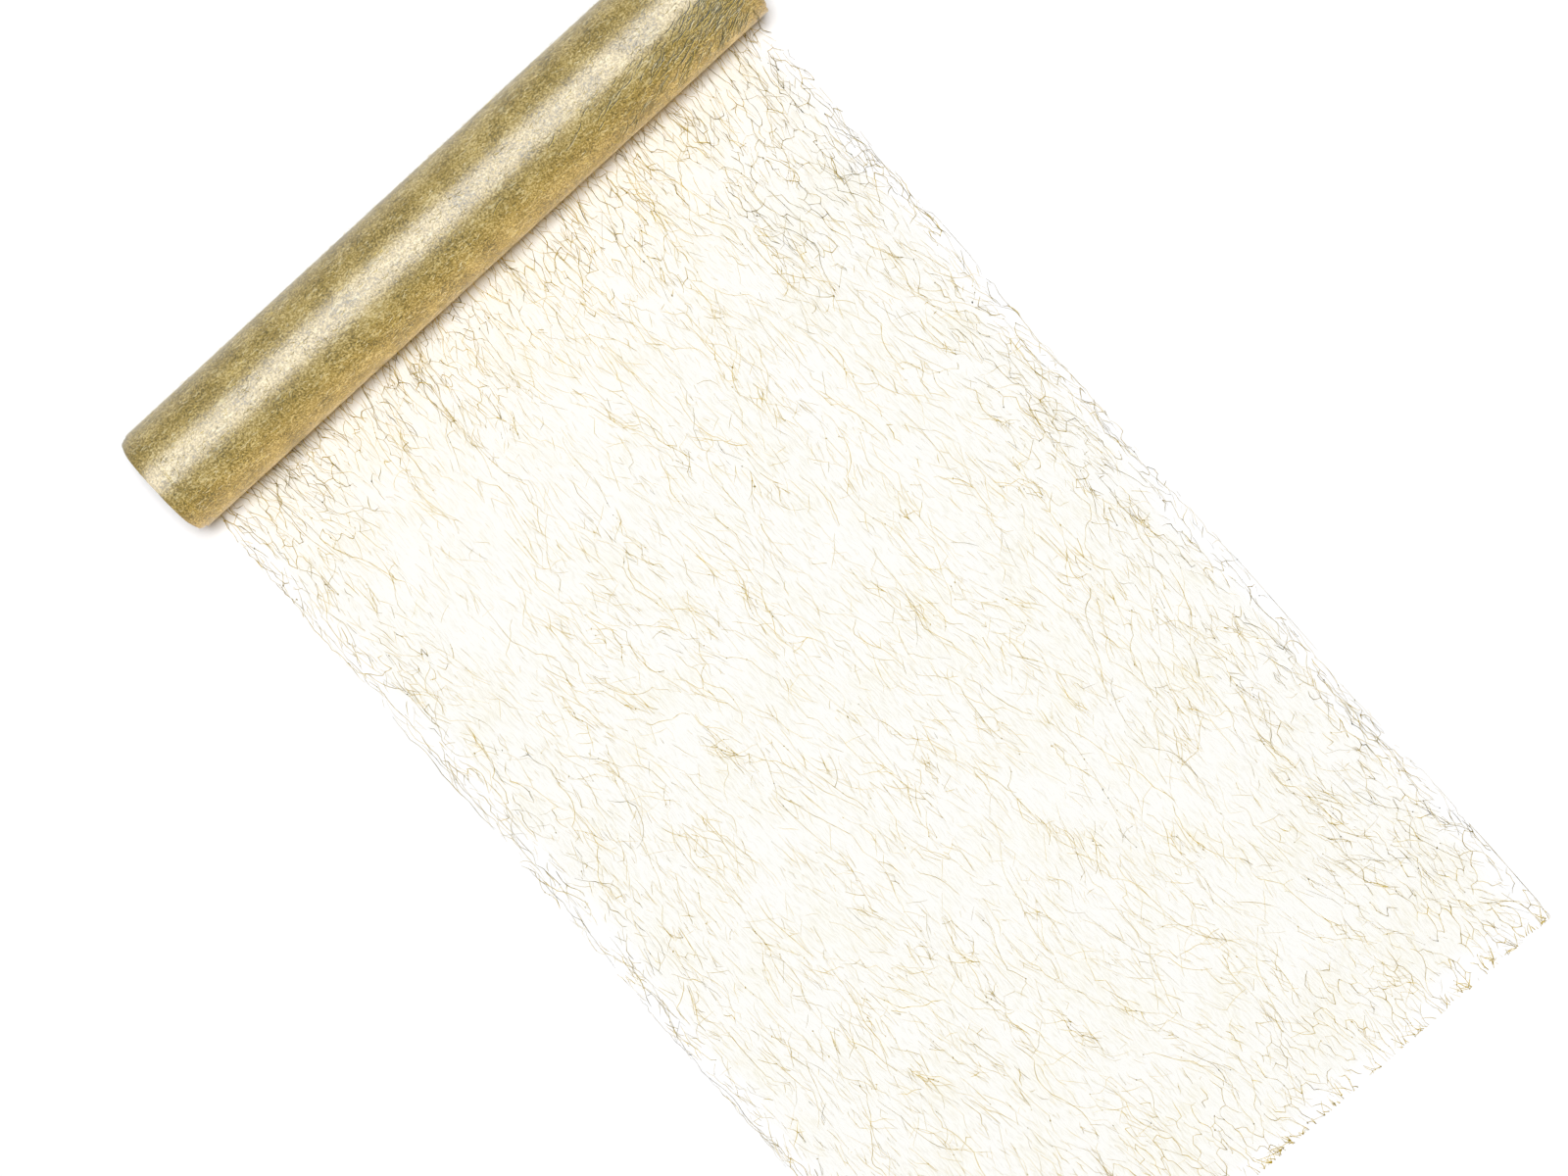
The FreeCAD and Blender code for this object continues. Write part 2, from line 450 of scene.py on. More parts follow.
def meshPiece(name, points, faces, material, tone=None):
    mesh = bpy.data.meshes.new(name)
    mesh.from_pydata((points * mm).tolist(), [], faces)
    mesh.materials.append(material)
    mesh.shade_smooth()
    if tone is not None:
        mesh.attributes.new("fibreTone", "FLOAT", "POINT").data.foreach_set("value", tone.astype(np.float32))
    piece = bpy.data.objects.new(name, mesh)
    bpy.context.scene.collection.objects.link(piece)
    print(name, "triangles", sum(len(f) - 2 for f in faces))
    return piece


def gridPiece(name, u, v, h, place, cover):
    # a sheet of four-sided faces over a grid of web coordinates
    index = np.arange(u.size).reshape(u.shape)
    corners = index[:-1, :-1], index[:-1, 1:], index[1:, 1:], index[1:, :-1]
    points = np.stack(place(u, v, h), axis=-1).reshape(-1, 3)
    faces = np.stack(corners, axis=-1).reshape(-1, 4).tolist()
    return meshPiece(name, points, faces, hazeGold, cover.ravel())


def block(points, half, tone, lift, sides=3, alive=True):
    # K threads of P points: points (K, P, 2) across and along the web; the rest spread to (K, P)
    shape = points.shape[:2]
    spread = [np.broadcast_to(x, shape).astype(float).copy() for x in (half, tone, lift)]
    kept = np.broadcast_to(alive, shape).copy()
    return dict(points=points, half=spread[0], tone=spread[1], lift=spread[2], sides=sides, alive=kept)


def clipBlock(b, low, high):
    # keeps what lies between two distances along the web, and cuts the threads straight on those lines
    points, alive = b["points"].copy(), b["alive"]
    v = points[..., 1]
    inside = (v >= low) & (v <= high) & alive
    kept = inside.copy()
    for line in (low, high):
        for shift in (1, -1):
            near = np.roll(inside, shift, 1)
            near[:, 0 if shift == 1 else -1] = False
            inner = np.roll(b["points"], shift, 1)
            crosses = near & ~inside & alive & ((v < low) if line == low else (v > high)) & ~(kept & ~inside)
            gap = v - inner[..., 1]
            share = (line - inner[..., 1]) / np.where(np.abs(gap) < 1e-9, 1.0, gap)
            points[crosses] = (inner + (b["points"] - inner) * share[..., None])[crosses]
            kept |= crosses
    return {**b, "points": points, "alive": kept}


def threadPiece(name, blocks, place, material, flatness=0.5):
    allPoints, allFaces, allTones, start = [], [], [], 0
    for b in blocks:
        alive, sides = b["alive"].ravel(), b["sides"]
        rows, steps = b["alive"].shape
        order = np.arange(rows * steps)[alive]
        starts = np.ones(len(order), bool)
        starts[1:] = (np.diff(order) > 1) | (order[1:] % steps == 0)
        run = np.cumsum(starts) - 1
        enough = np.bincount(run)[run] > 1 if len(run) else run > 0
        order, run = order[enough], run[enough]
        if not len(order):
            continue
        pts = b["points"].reshape(-1, 2)[order]
        half, tone, lift = (b[k].ravel()[order] for k in ("half", "tone", "lift"))
        joined = run[1:] == run[:-1]
        index = np.arange(len(order))
        after = np.where(np.append(joined, False), index + 1, index)
        before = np.where(np.insert(joined, 0, False), index - 1, index)
        along = pts[after] - pts[before]
        along /= np.linalg.norm(along, axis=1, keepdims=True) + 1e-9
        turn = np.pi / 2 + np.arange(sides) * 2 * np.pi / sides
        spread = half[:, None] * np.cos(turn)
        u = pts[:, 0, None] + along[:, 1, None] * spread
        v = pts[:, 1, None] - along[:, 0, None] * spread
        h = lift[:, None] + half[:, None] * flatness * (1 + np.sin(turn))
        allPoints.append(np.stack(place(u, v, h), axis=-1).reshape(-1, 3))
        allTones.append(np.repeat(tone, sides))
        ring = start + np.arange(len(order) * sides).reshape(-1, sides)
        near, far = ring[:-1][joined], ring[1:][joined]
        quads = np.stack([near, np.roll(near, -1, 1), np.roll(far, -1, 1), far], axis=-1)
        allFaces += quads.reshape(-1, 4).tolist()
        allFaces += ring[before == index][:, ::-1].tolist() + ring[after == index].tolist()
        start += len(order) * sides
    return meshPiece(name, np.concatenate(allPoints), allFaces, material, np.concatenate(allTones))


flowSet = dict(leanDeg=3.0, cornerLeanDeg=13.0, swayDeg=13.0, rippleDeg=7.0, edgeKeepMm=0.3, edgeTurnMm=5.0)


def flowDeg(u, v):
    # how far the fibres lean from the web's run: more towards the near right corner, and in slow swings
    s = flowSet
    lean = s["cornerLeanDeg"] * smoothStep(v, 300, 400) * smoothStep(u, -40, 60) + s["leanDeg"]
    return lean + s["swayDeg"] * field(u / 55, v / 85, 431) + s["rippleDeg"] * field(u / 16, v / 30, 432)


def traceThreads(spec, rng, starts, heading, direction, span):
    # walks every thread at once: each follows the flow, wanders, and turns sharply at a binding point
    steps = int(span.max() / spec["step"]) + 1
    place, path = starts.copy(), np.empty((len(starts), steps + 1, 2))
    limit = webWidth / 2 - 0.5 - rng.gamma(1.5, 1.2, len(place))  # where each turns back from the edge
    swing = rng.uniform(2, 26, len(place))  # and how sharply, in degrees a step
    for k in range(steps + 1):
        path[:, k] = place
        turn = rng.normal(0, spec["wanderDeg"], len(place))
        kinked = rng.uniform(size=len(place)) < spec["kinkShare"]
        turn += kinked * rng.normal(0, spec["kinkDeg"], len(place))
        heading = heading + turn + spec["pull"] * (flowDeg(place[:, 0], place[:, 1]) - heading)
        close = np.clip((np.abs(place[:, 0]) - limit) / flowSet["edgeTurnMm"] + 1, 0, 1.2)
        outward = np.sign(place[:, 0]) * direction * heading > -8
        heading = heading - np.where(outward, np.sign(place[:, 0]) * direction * close * swing, 0)
        radians = np.radians(heading)
        place = place + spec["step"] * direction[:, None] * np.stack([np.sin(radians), np.cos(radians)], 1)
    alive = np.arange(steps + 1)[None, :] * spec["step"] <= span[:, None]
    alive &= np.logical_and.accumulate(np.abs(path[..., 0]) < webWidth / 2 - flowSet["edgeKeepMm"], axis=1)
    return path, alive


def strandBlocks(spec, seed, toneAt, weightAt, length):
    # long strands and the forks that leave them, thick in the middle and fading out at the tips
    rng = np.random.default_rng(seed)
    many = spec["count"] * 3
    triesU = rng.uniform(-0.5, 0.5, many) * webWidth
    tries = np.stack([triesU, rng.uniform(-0.06, 1.0, many) * length], axis=1)
    wanted = rng.uniform(size=len(tries)) < weightAt(tries[:, 0], tries[:, 1]) / 1.6
    starts = tries[wanted][:spec["count"]]
    blocks = []
    for generation in range(spec["generations"]):
        count = len(starts)
        if generation == 0:
            heading = flowDeg(starts[:, 0], starts[:, 1]) + rng.normal(0, spec["spreadDeg"], count)
            direction = rng.choice([-1.0, 1.0], count)
            span = rng.gamma(3.0, spec["meanMm"] / 3, count)
        else:
            span = rng.gamma(2.5, spec["forkMm"] / 2.5, count)
        span = np.clip(span, spec["step"] * 1.5, spec["meanMm"] * 2.6)
        path, alive = traceThreads(spec, rng, starts, heading, direction, span)
        share = np.clip(np.arange(path.shape[1])[None, :] * spec["step"] / span[:, None], 0, 1)
        taper = np.sin(np.pi * share) ** 0.6 if generation == 0 else (1 - share) ** 0.5
        low, high = spec["halfWidth"]
        half = (low + (high - low) * rng.beta(1.2, 2.6, count))[:, None] * (0.35 + 0.65 * taper)
        u, v = path[..., 0], path[..., 1]
        near = weightAt(u, v)
        half *= 0.62 + 0.38 * near
        tone = toneAt(u, v) + rng.normal(0, spec["toneSpread"], count)[:, None]
        blocks.append(block(path, half, np.clip(tone, 0, 1), 0.0, 3, alive))
        forks = int(count * spec["forks"])
        parent = rng.integers(count, size=forks)
        step = (rng.uniform(0.1, 0.9, forks) * span[parent] / spec["step"]).astype(int)
        starts = path[parent, step]
        direction = direction[parent] * rng.choice([-1.0, 1.0], forks)
        apart = rng.choice([-1, 1], forks) * rng.uniform(18, 55, forks)
        heading = flowDeg(starts[:, 0], starts[:, 1]) + apart
    return blocks


def cellNet(spec, seed, width, start, end):
    # a net of cells drawn out along the web: nodes, and the pairs of nodes that a thread joins
    rng = np.random.default_rng(seed)
    cellWide, cellLong = spec["cell"]
    nu, nv = int(width / cellWide) + 4, int((end - start) / cellLong) + 4
    i, j = np.meshgrid(np.arange(nu), np.arange(nv), indexing="ij")
    x = i + 0.5 * (j % 2) + rng.uniform(-spec["jitter"], spec["jitter"], i.shape)
    y = j + rng.uniform(-spec["jitter"], spec["jitter"], i.shape)
    seeds = [Vector(p) for p in np.stack([x.ravel(), y.ravel()], axis=1).tolist()]
    corners, _, triangles, *_ = delaunay_2d_cdt(seeds, [], [], 0, 1e-7)
    corners = np.array([c[:] for c in corners])
    triangles = np.array([t for t in triangles if len(t) == 3])
    nodes = corners[triangles].mean(axis=1)
    sides = np.concatenate([triangles[:, [0, 1]], triangles[:, [1, 2]], triangles[:, [2, 0]]])
    sides = np.sort(sides, axis=1)
    owner = np.tile(np.arange(len(triangles)), 3)
    order = np.lexsort((sides[:, 1], sides[:, 0]))
    sides, owner = sides[order], owner[order]
    same = np.where((sides[1:] == sides[:-1]).all(axis=1))[0]
    links = np.stack([owner[same], owner[same + 1]], axis=1)
    nodes = nodes * [cellWide, cellLong] - [cellWide * (nu - 1) / 2, 0] + [0, start - 1.5 * cellLong]
    bend, reach = spec["wander"], spec["wanderMm"]
    drift = [field(nodes[:, 0] / reach + k, nodes[:, 1] / (reach * 1.7) + k, seed + 11 + k) for k in (0, 1)]
    fine = field(nodes[:, 0] / 4.0, nodes[:, 1] / 5.0, seed + 17)
    nodes[:, 0] += bend * drift[0] + 0.8 * fine
    nodes[:, 1] += bend * drift[1]
    return nodes, links, rng


def cellBlocks(spec, seed, width, start, end, toneAt, keepAt):
    # threads that meet in forks and stars, as where the web is densest
    nodes, links, rng = cellNet(spec, seed, width, start, end)
    a, b = nodes[links[:, 0]], nodes[links[:, 1]]
    middle, gap = (a + b) / 2, b - a
    length = np.linalg.norm(gap, axis=1)
    cross = np.abs(gap[:, 0]) / (length + 1e-9)
    chance = spec["keepAlong"] * (1 - cross) + spec["keepCross"] * cross
    chance = chance * keepAt(middle[:, 0], middle[:, 1])
    limit = width / 2 - flowSet["edgeKeepMm"]
    keep = (np.abs(a[:, 0]) < limit) & (np.abs(b[:, 0]) < limit) & (rng.uniform(size=len(links)) < chance)
    links, a, b, length, middle = links[keep], a[keep], b[keep], length[keep], middle[keep]
    low, high = spec["halfWidth"]
    half = low + (high - low) * rng.beta(1.3, 3.2, len(links))
    nodeSum, nodeCount, nodeTone = np.zeros(len(nodes)), np.zeros(len(nodes)), np.zeros(len(nodes))
    tone = np.clip(toneAt(middle[:, 0], middle[:, 1]) + rng.normal(0, spec["toneSpread"], len(links)), 0, 1)
    for k in (0, 1):
        np.add.at(nodeSum, links[:, k], half)
        np.add.at(nodeTone, links[:, k], tone)
        np.add.at(nodeCount, links[:, k], 1)
    nodeHalf = nodeSum / np.maximum(nodeCount, 1) * np.where(nodeCount > 1, 1.15, 0.4)
    nodeTone = nodeTone / np.maximum(nodeCount, 1)
    blocks = []
    for pick, steps in ((length > 4.5, 3), (length <= 4.5, 2)):  # short threads need fewer points
        t = np.linspace(0, 1, steps + 1)[None, :, None]
        normal = np.stack([(b - a)[pick][:, 1], -(b - a)[pick][:, 0]], axis=1)
        bow = rng.normal(0, 0.07, len(normal))[:, None, None] * np.sin(np.pi * t)
        snake = rng.normal(0, 0.03, len(normal))[:, None, None] * np.sin(2 * np.pi * t)
        line = a[pick][:, None] * (1 - t) + b[pick][:, None] * t + normal[:, None] * (bow + snake)
        s, t = np.sin(np.pi * t[..., 0]), t[..., 0]
        ends = [nodeHalf[links[pick][:, k]][:, None] for k in (0, 1)]
        widths = (ends[0] * (1 - t) + ends[1] * t) * (1 - s) + half[pick][:, None] * s
        ends = [nodeTone[links[pick][:, k]][:, None] for k in (0, 1)]
        tones = tone[pick][:, None] * s + (ends[0] * (1 - t) + ends[1] * t) * (1 - s)
        blocks.append(block(line, widths, tones, 0.0))
    return blocks


def flatPlace(u, v, h):
    return [underRoll[k] + across[k] * u + runOut[k] * v for k in (0, 1)] + [underRoll[2] + h]


# the drawn-out web

webSet = dict(
    strands=dict(
        count=820, meanMm=26.0, forkMm=7.0, generations=3, forks=1.0, step=2.0, wanderDeg=2.0,
        kinkShare=0.3, kinkDeg=27.0, pull=0.2, spreadDeg=11.0, halfWidth=(0.055, 0.155), toneSpread=0.15,
    ),
    fine=dict(
        count=6800, meanMm=8.0, forkMm=6.0, generations=1, forks=0.0, step=2.8, wanderDeg=6.0,
        kinkShare=0.2, kinkDeg=28.0, pull=0.12, spreadDeg=15.0, halfWidth=(0.045, 0.1), toneSpread=0.2,
    ),
    cells=dict(
        cell=(3.9, 8.6), jitter=0.64, wander=3.4, wanderMm=14.0, keepAlong=0.8, keepCross=0.5,
        halfWidth=(0.06, 0.18), toneSpread=0.18,
    ),
    edges=dict(count=26, apartMm=(10, 42), lengthMm=(24, 66), halfWidth=(0.05, 0.11), tone=(0.2, 0.7)),
    cutEnds=dict(count=120, lengthMm=4.5, shyMm=0.5, halfWidth=(0.11, 0.24), tone=(0.14, 0.42)),
    knotCount=3600, knotMm=(0.1, 0.28), hazeStepMm=5.0, hazeFadeMm=16.0,
)


def edgeCloseness(u, v):
    # 1 along the two long edges, at the roll and at the free end, and 0 in the web's middle
    side = smoothStep(np.abs(u) / (webWidth / 2), 0.62, 1.0)
    roll = 1 - smoothStep(v, 25, 80)
    end = smoothStep(v, laidLength - 60, laidLength - 15)
    rightFront = smoothStep(u, 60, 125) * smoothStep(v, 260, 400)
    top = smoothStep(u, 50, 115) * (1 - smoothStep(v, 80, 150))
    patch = 0.5 + 0.5 * field(u / 32, v / 45, 401)
    left = side * np.where(u < 0, 0.6, 0.85)
    strongest = np.maximum.reduce([left, roll * 0.5, end * 0.5, rightFront * 0.74, top])
    return np.clip(strongest * (0.6 + 0.6 * patch), 0, 1)


def webTone(u, v):
    # 0 is the palest fibre and 1 the darkest
    nearEnd = smoothStep(v, laidLength - 50, laidLength)
    return 0.15 + (0.36 - 0.26 * nearEnd) * edgeCloseness(u, v) + 0.1 * field(u / 9, v / 14, 402)


def webWeight(u, v):
    # how many strands there are, and how thick
    nearEnd = smoothStep(v, laidLength - 70, laidLength - 25)
    return 0.68 + 0.2 * edgeCloseness(u, v) - 0.25 * nearEnd + 0.25 * field(u / 18, v / 30, 403)


def cellKeep(u, v):
    # the share of the net's threads that is kept
    nearRoll = 0.55 * (1 - smoothStep(v, 40, 95))
    nearEnd = 0.6 * smoothStep(v, laidLength - 70, laidLength - 25)
    close = 1.15 * edgeCloseness(u, v) + nearRoll + nearEnd
    return np.clip(close + 0.3 * field(u / 20, v / 24, 404) - 0.12, 0, 1)


def edgeThreads(spec, seed):
    # the outermost threads on each long edge: long shallow arcs that touch the edge and leave it
    rng = np.random.default_rng(seed)
    blocks, t = [], np.linspace(0, 1, 17)[None, :]
    for side in (-1, 1):
        starts = np.cumsum(rng.uniform(*spec["apartMm"], spec["count"]))
        starts = starts[starts < laidLength - 12][:, None]
        span = rng.uniform(*spec["lengthMm"], starts.shape)
        v = starts + span * t
        inset = 0.4 + rng.gamma(1.3, 1.8, starts.shape)
        inset = inset + rng.uniform(-2.4, 1.5, starts.shape) * np.sin(np.pi * t)
        inset = inset + 0.8 * field(v / 7, starts + 0 * v, seed + side) + rng.normal(0, 0.3, v.shape)
        inset = np.maximum(inset, 0.2)
        half = rng.uniform(*spec["halfWidth"], starts.shape) * (0.35 + 0.65 * np.sin(np.pi * t) ** 0.5)
        tone = rng.uniform(*spec["tone"], starts.shape) + 0 * v
        blocks.append(block(np.stack([side * (webWidth / 2 - inset), v], axis=2), half, tone, 0.0))
    return blocks


def cutEnds(spec, seed):
    # the free end was cut straight across, so threads stop there in short thick stubs, some of them forked
    rng = np.random.default_rng(seed)
    count = spec["count"]
    u = rng.uniform(-0.5, 0.5, count) * (webWidth - 4)
    tip = laidLength - rng.gamma(1.2, spec["shyMm"], count)
    lean = rng.normal(14, 24, count)
    blocks = []
    for turn, pick in ((0, slice(None)), (38, slice(0, count // 3)), (-42, slice(0, count // 4))):
        span = rng.gamma(4, spec["lengthMm"] / 4, count)[pick]
        t = np.linspace(1, 0, 4)[None, :]
        heading = np.radians(lean[pick, None] + turn + rng.normal(0, 14, len(span))[:, None] * t)
        start = np.stack([u[pick], tip[pick]], axis=1)[:, None]
        line = start - np.stack([np.sin(heading), np.cos(heading)], 2) * (span[:, None] * t)[..., None]
        line[..., 0] = np.clip(line[..., 0], 0.5 - webWidth / 2, webWidth / 2 - 0.5)
        half = rng.uniform(*spec["halfWidth"], len(span))[:, None] * (1 - 0.65 * t)
        blocks.append(block(line, half, rng.uniform(*spec["tone"], len(span))[:, None], 0.0))
    return blocks


def knots(blocks, count, seed, size):
    # small flattened blobs of binder where threads meet
    rng = np.random.default_rng(seed)
    points = np.concatenate([b["points"][b["alive"]] for b in blocks])
    tones = np.concatenate([b["tone"][b["alive"]] for b in blocks])
    pick = rng.integers(len(points), size=count)
    centre, tones = points[pick], tones[pick]
    half = rng.uniform(*size, count) * rng.uniform(0.5, 1, count)
    heading = rng.uniform(-0.9, 0.9, count)
    t = np.linspace(-1, 1, 3)[None, :]
    stretch = rng.uniform(1.0, 2.2, (count, 1))
    reach = np.stack([np.sin(heading), np.cos(heading)], 1) * half[:, None] * stretch
    line = centre[:, None] + reach[:, None] * t[..., None]
    widths = half[:, None] * np.array([0.25, 1.0, 0.25])
    return block(line, widths, np.clip(tones + 0.25, 0, 1)[:, None], 0.0, 4)


def layThreads(blocks, seed, amount):
    # binder gathers in beads along every thread, and threads that cross lie a little higher or lower
    for b in blocks:
        u, v = b["points"][..., 0], b["points"][..., 1]
        bead = field(u / 1.3, v / 1.7, seed + 20)
        b["half"] *= 0.9 + 0.55 * bead
        b["tone"] = np.clip(b["tone"] + 0.2 * bead + 0.12 * field(u / 5, v / 7, seed + 21), 0.12, 1)
        b["lift"] += amount * (0.5 + 0.5 * field(u / 5, v / 8, seed)) + 0.08
    return blocks


def hazePiece(name, low, high):
    # the thin ground of the web that every thread lies on
    step, fade = webSet["hazeStepMm"], webSet["hazeFadeMm"]
    lineU = np.linspace(-0.5, 0.5, int(webWidth / step) + 1) * webWidth
    lineV = np.linspace(low, high, int((high - low) / step) + 1)
    u, v = np.meshgrid(lineU, lineV, indexing="ij")
    ragged = np.abs(u) > webWidth / 2 - 0.1
    u = np.where(ragged, u - np.sign(u) * (1.4 + 1.2 * field(v / 9, u, 441)), u)
    h = 0.03 + 0.03 * field(u / 12, v / 17, 442)
    cover = 1 - smoothStep(np.abs(u) + 4 * field(v / 15, u, 443), webWidth / 2 - fade, webWidth / 2 - 2)
    cover *= 1 - smoothStep(v + 4 * field(v, u / 15, 444), laidLength - fade, laidLength - 2)
    return gridPiece(name, u, v, h, flatPlace, cover)


def makeLaidWeb():
    s = webSet
    strands = strandBlocks(s["strands"], 51, webTone, webWeight, laidLength)
    cells = cellBlocks(s["cells"], 55, webWidth, 0, laidLength + 15, webTone, cellKeep)
    fine = strandBlocks(s["fine"], 77, lambda u, v: webTone(u, v) * 0.85, webWeight, laidLength)
    strong = [*strands, *cells, *edgeThreads(s["edges"], 63), *cutEnds(s["cutEnds"], 65)]
    strong = layThreads(strong, 5, 0.2)
    fine = layThreads([*fine, knots(strong, s["knotCount"], 91, s["knotMm"])], 6, 0.15)
    for part, low, high, node in (
        ("Rear", 0.0, rearLength, "laid_web_rear"), ("Tail", rearLength, laidLength, "laid_web_front"),
    ):
        haze = hazePiece("webGround" + part, low, high)
        threads = [
            threadPiece(label + part, [clipBlock(b, low, high) for b in made], flatPlace, fibreGold)
            for label, made in (("webThreads", strong), ("webFineThreads", fine))
        ]
        for piece in (haze, *threads):
            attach(piece, "laid_web")
            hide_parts(node)
            if part == "Rear":
                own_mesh(piece)


makeLaidWeb()
print("drawn-out web made")


# the roll: u runs along it from its middle, s round it

rollSet = dict(
    stepAlong=0.85, stepRound=0.9, sinkMm=0.15, feltMm=0.03, lumpMm=0.03, sagMm=0.06, creaseMm=0.36,
    endReachMm=0.8, endWander=0.8, flareMm=2.0,
)
circumference = 2 * math.pi * rollRadius


def rollHeight(u, s):
    # relief of the outer turn: felt of pressed layers, soft bands, and creases fanning from the far end
    r = rollSet
    loop = [int(round(circumference / step)) for step in (2.2, 9.3, 24.8)]
    felt = field(u / 1.6, s / circumference * loop[0], 21, loop[0])
    lumps = field(u / 14, s / circumference * loop[1], 22, loop[1])
    sag = field(u / 60, s / circumference * loop[2], 23, loop[2])
    part = s / circumference
    front = smoothStep(part, 0.52, 0.6) * (1 - smoothStep(part, 0.67, 0.73))
    zone = smoothStep(u, webWidth * 0.2, webWidth * 0.42) * front
    fan = (s - circumference * 0.8) * 0.9 + (u - webWidth * 0.5) * 0.35
    ridges = 1 - np.abs(field(fan / 2.6, (u - s * 0.4) / 19, 24)) * 2
    return r["feltMm"] * felt + r["lumpMm"] * lumps + r["sagMm"] * sag + r["creaseMm"] * zone * ridges


def rollPlace(u, s, h):
    # s runs round the roll from its lowest line, up the back and over the top
    angle = s / rollRadius
    radius = rollRadius - rollSet["sinkMm"] + rollHeight(u, s % circumference) + h
    return [rollMiddle + u, rollAxis[1] + radius * np.sin(angle), rollAxis[2] - radius * np.cos(angle)]


def makeRollSkin():
    # the outermost turn, closed round the roll, with uneven ends that flare out at the far front
    nu, ns = int(webWidth / rollSet["stepAlong"]), int(circumference / rollSet["stepRound"])
    s = np.arange(ns) / ns * circumference
    share = np.linspace(-1, 1, nu + 1)
    wander = [field(s / 9, s * 0 + k, 31 + k) * rollSet["endWander"] for k in (0, 1)]
    part = s / circumference
    flare = rollSet["flareMm"] * smoothStep(part, 0.55, 0.66) * (1 - smoothStep(part, 0.76, 0.9))
    drift = np.where(share[:, None] < 0, wander[0], wander[1] + flare)
    u = share[:, None] * (webWidth / 2 + rollSet["endReachMm"] + drift * np.abs(share[:, None]) ** 8)
    points = np.stack(rollPlace(u, np.broadcast_to(s, u.shape), 0 * u), axis=-1).reshape(-1, 3)
    index = np.arange((nu + 1) * ns).reshape(nu + 1, ns)
    near, far = index[:-1], index[1:]
    faces = np.stack([near, np.roll(near, -1, 1), np.roll(far, -1, 1), far], axis=-1).reshape(-1, 4).tolist()
    skin = meshPiece("rollSkin", points, faces, skinGold)
    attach(skin, "roll")
    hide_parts("outer_turn")
    return skin


feltSet = dict(
    felt=dict(
        # short fibres lying in the skin; the pale share of them are painted glints, gathered in clusters
        count=11500, lengthMm=2.0, halfWidth=(0.07, 0.16), axialShare=0.8, paintedGlintFibreShare=0.42, clusterMm=7.0,
    ),
    # painted shade lines in the far-end creases, each with a thinner painted highlight beside it
    paintedCreaseShading=dict(count=330, lengthMm=6.5, halfWidth=(0.12, 0.26), paintedHighlightShare=0.55, leanDeg=-19.0, twinMm=0.42),
    rimTicks=dict(count=520, lengthMm=1.9, halfWidth=(0.07, 0.15)),
    endLines=dict(count=44, lengthMm=24.0, halfWidth=(0.05, 0.1), insetMm=6.0),
)


def pressedLines(rng, spec, u, s, lean, tone, steps):
    # short curved fibres lying in the skin; lean 0 runs along the roll, a quarter turn runs round it
    count = len(u)
    t = np.linspace(-0.5, 0.5, steps)[None, :]
    span = rng.gamma(4, spec["lengthMm"] / 4, count)[:, None]
    bend = lean[:, None] + rng.normal(0, 0.3, count)[:, None] * t * 2
    line = np.stack([u[:, None] + np.cos(bend) * span * t, s[:, None] + np.sin(bend) * span * t], axis=2)
    line[..., 0] = np.clip(line[..., 0], 0.6 - webWidth / 2, webWidth / 2 - 0.6)
    half = rng.uniform(*spec["halfWidth"], count)[:, None] * (0.4 + 0.6 * np.sin(np.pi * (t + 0.5)))
    return block(line, half, tone[:, None], 0.01)


